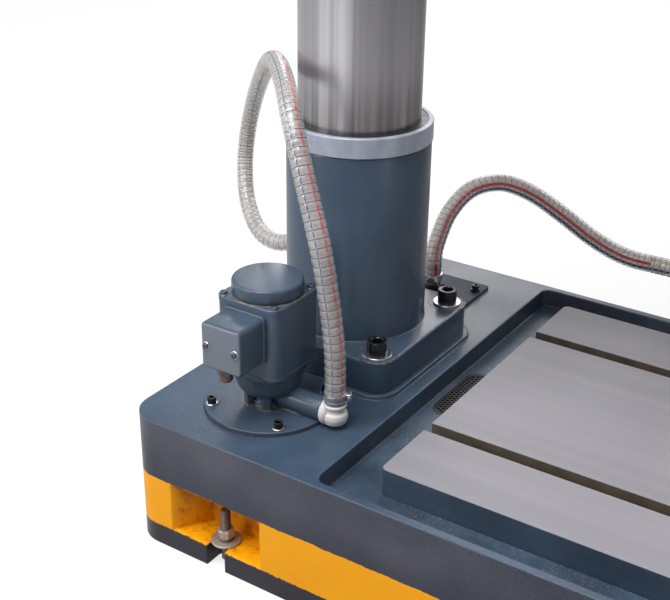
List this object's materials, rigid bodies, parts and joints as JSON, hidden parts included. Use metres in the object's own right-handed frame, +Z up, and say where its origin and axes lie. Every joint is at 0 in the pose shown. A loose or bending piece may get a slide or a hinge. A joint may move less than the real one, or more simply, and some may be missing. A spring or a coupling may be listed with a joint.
{
  "type": "pillar drill",
  "caption": "Floor-standing pillar drill with a geared head on a round column, a swinging rise-and-fall table, a box base holding the coolant tank, an upright coolant pump and ribbed hoses.",
  "frame": {"origin": "on the floor, under the column axis", "axes": "+Z up the column, +Y to the rear, +X to the right as seen by someone standing at the front"},
  "size_m": [0.791, 1.1624, 2.31],
  "materials": {
    "machine_paint": "semi-gloss dark blue-grey machine enamel",
    "pump_paint": "semi-gloss slate blue enamel",
    "cast_table": "machined cast iron",
    "ground_steel": "ground bare steel",
    "dark_steel": "dark oiled steel",
    "black_oxide": "black oxide",
    "zinc": "bright zinc plate",
    "rubber": "black rubber",
    "black_plastic": "satin black plastic",
    "white_plastic": "white moulded plastic",
    "clear_hose": "cloudy clear wire-ribbed hose",
    "guard_plastic": "clear guard plastic",
    "green_plastic": "gloss green plastic",
    "red_plastic": "gloss red plastic"
  },
  "bodies": {
    "machine": {"base_casting": "machine_paint", "base_table": "machine_paint", "strainer_grille": "dark_steel", "tank_cover_plate": "machine_paint", "cover_screws": "black_oxide", "return_fitting": "zinc", "anchor_bolts": "zinc", "anchor_washers": "zinc", "column_foot": "machine_paint", "foot_bolts": "black_oxide", "foot_washers": "zinc", "column_tube": "ground_steel", "rack_rings": "zinc", "pump_base": "pump_paint", "pump_bowl": "pump_paint", "pump_body": "pump_paint", "pump_cap": "pump_paint", "pump_screws": "black_oxide", "suction_tube": "zinc", "terminal_box": "pump_paint", "box_gasket": "rubber", "box_lid": "pump_paint", "cable_gland": "black_plastic", "hose_elbow": "white_plastic", "pump_hose": "clear_hose", "hose_clamps": "zinc", "return_hose_lower": "clear_hose", "head_casting": "machine_paint", "head_cover": "machine_paint", "head_motor": "machine_paint", "motor_fan_cover": "black_plastic", "coolant_pipe": "zinc", "control_panel": "black_plastic"},
    "pump_shaft": {"pump_rotor": "ground_steel"},
    "swing_rack": {"rack": "ground_steel", "return_hose_upper": "clear_hose"},
    "arm": {"table_arm": "machine_paint", "arm_gear_cover": "machine_paint", "drain_nipple": "zinc"},
    "lift_gear": {"lift_pinion": "ground_steel"},
    "crank": {"lift_worm": "ground_steel", "crank_handle": "black_oxide"},
    "crank_knob": {"crank_grip": "black_plastic"},
    "clamp_lever": {"column_clamp": "black_oxide"},
    "table": {"work_table": "cast_table"},
    "lock_lever": {"table_lock": "black_oxide"},
    "motor_shaft": {"motor_rotor": "ground_steel"},
    "sleeve": {"drive_sleeve": "ground_steel"},
    "quill_slide": {"quill": "ground_steel"},
    "drill_spindle": {"spindle": "ground_steel", "drill_chuck": "ground_steel"},
    "guard": {"chuck_guard": "guard_plastic"},
    "feed": {"feed_hub": "ground_steel", "feed_handles": "black_plastic"},
    "tap": {"coolant_tap": "red_plastic"},
    "gear_selector": {"gear_lever": "black_oxide"},
    "start": {"start_button": "green_plastic"},
    "stop": {"stop_button": "red_plastic"},
    "estop": {"emergency_stop": "red_plastic"},
    "isolator": {"main_switch": "red_plastic"}
  },
  "joints": [
    {"name": "table_swing", "type": "hinge", "parent": "machine", "child": "swing_rack", "pos_m": [0, 0, 0], "axis": [0, 0, 1], "range_deg": [-90, 75], "deforming": ["return_hose_lower"]},
    {"name": "table_lift", "type": "slide", "parent": "swing_rack", "child": "arm", "axis": [0, 0, 1], "range_m": [-0.13, 0.12], "deforming": ["return_hose_upper"]},
    {"name": "lift_pinion_turn", "type": "hinge", "parent": "arm", "child": "lift_gear", "pos_m": [0.14, 0, 0.98], "axis": [0, 1, 0], "range_deg": [-216, 234]},
    {"name": "crank_turn", "type": "hinge", "parent": "arm", "child": "crank", "pos_m": [0, -0.115, 0.9286], "axis": [1, 0, 0], "range_deg": [-2330, 2150]},
    {"name": "crank_grip_spin", "type": "hinge", "parent": "crank", "child": "crank_knob", "pos_m": [-0.2, -0.115, 1.0386], "axis": [1, 0, 0], "continuous": true},
    {"name": "column_clamp_turn", "type": "hinge", "parent": "arm", "child": "clamp_lever", "pos_m": [0, -0.14, 0.918], "axis": [1, 0, 0], "range_deg": [-40, 15]},
    {"name": "table_turn", "type": "hinge", "parent": "arm", "child": "table", "pos_m": [0, -0.42, 0], "axis": [0, 0, 1], "continuous": true},
    {"name": "table_lock_turn", "type": "hinge", "parent": "arm", "child": "lock_lever", "pos_m": [0, -0.42, 0.99], "axis": [-0.866, -0.5, 0], "range_deg": [-60, 60]},
    {"name": "quill_feed", "type": "slide", "parent": "machine", "child": "quill_slide", "axis": [0, 0, 1], "range_m": [-0.18, 0]},
    {"name": "feed_turn", "type": "hinge", "parent": "machine", "child": "feed", "pos_m": [0, -0.359, 1.69], "axis": [1, 0, 0], "range_deg": [0, 500]},
    {"name": "sleeve_spin", "type": "hinge", "parent": "machine", "child": "sleeve", "pos_m": [0, -0.42, 1.93], "axis": [0, 0, 1], "continuous": true},
    {"name": "spindle_spin", "type": "hinge", "parent": "quill_slide", "child": "drill_spindle", "pos_m": [0, -0.42, 1.6], "axis": [0, 0, 1], "continuous": true},
    {"name": "motor_spin", "type": "hinge", "parent": "machine", "child": "motor_shaft", "pos_m": [0, -0.27, 2.1], "axis": [0, 0, 1], "continuous": true},
    {"name": "pump_spin", "type": "hinge", "parent": "machine", "child": "pump_shaft", "pos_m": [-0.227, 0, 0.3], "axis": [0, 0, 1], "continuous": true},
    {"name": "guard_swing", "type": "hinge", "parent": "quill_slide", "child": "guard", "pos_m": [0.071, -0.42, 1.5], "axis": [0, 0, 1], "range_deg": [0, 100]},
    {"name": "coolant_tap_turn", "type": "hinge", "parent": "machine", "child": "tap", "pos_m": [-0.18, -0.33, 1.765], "axis": [0, 0, 1], "range_deg": [0, 90]},
    {"name": "gear_select", "type": "hinge", "parent": "machine", "child": "gear_selector", "pos_m": [0, -0.55, 1.73], "axis": [0, 1, 0], "range_deg": [-35, 35]},
    {"name": "start_press", "type": "slide", "parent": "machine", "child": "start", "axis": [0, 1, 0], "range_m": [0, 0.004], "stiffness_N_per_m": 400},
    {"name": "stop_press", "type": "slide", "parent": "machine", "child": "stop", "axis": [0, 1, 0], "range_m": [0, 0.004], "stiffness_N_per_m": 400},
    {"name": "estop_press", "type": "slide", "parent": "machine", "child": "estop", "axis": [0, 1, 0], "range_m": [0, 0.004]},
    {"name": "isolator_turn", "type": "hinge", "parent": "machine", "child": "isolator", "pos_m": [-0.15, -0.36, 1.91], "axis": [1, 0, 0], "range_deg": [0, 90]}
  ],
  "couplings": [
    {"joint": "lift_pinion_turn", "follows": "table_lift", "rad_per_m": -31.25},
    {"joint": "crank_turn", "follows": "table_lift", "rad_per_m": 312.5},
    {"joint": "feed_turn", "follows": "quill_feed", "rad_per_m": -48.332},
    {"joint": "spindle_spin", "follows": "sleeve_spin", "ratio": 1},
    {"joint": "motor_spin", "follows": "sleeve_spin", "ratio": -2}
  ]
}
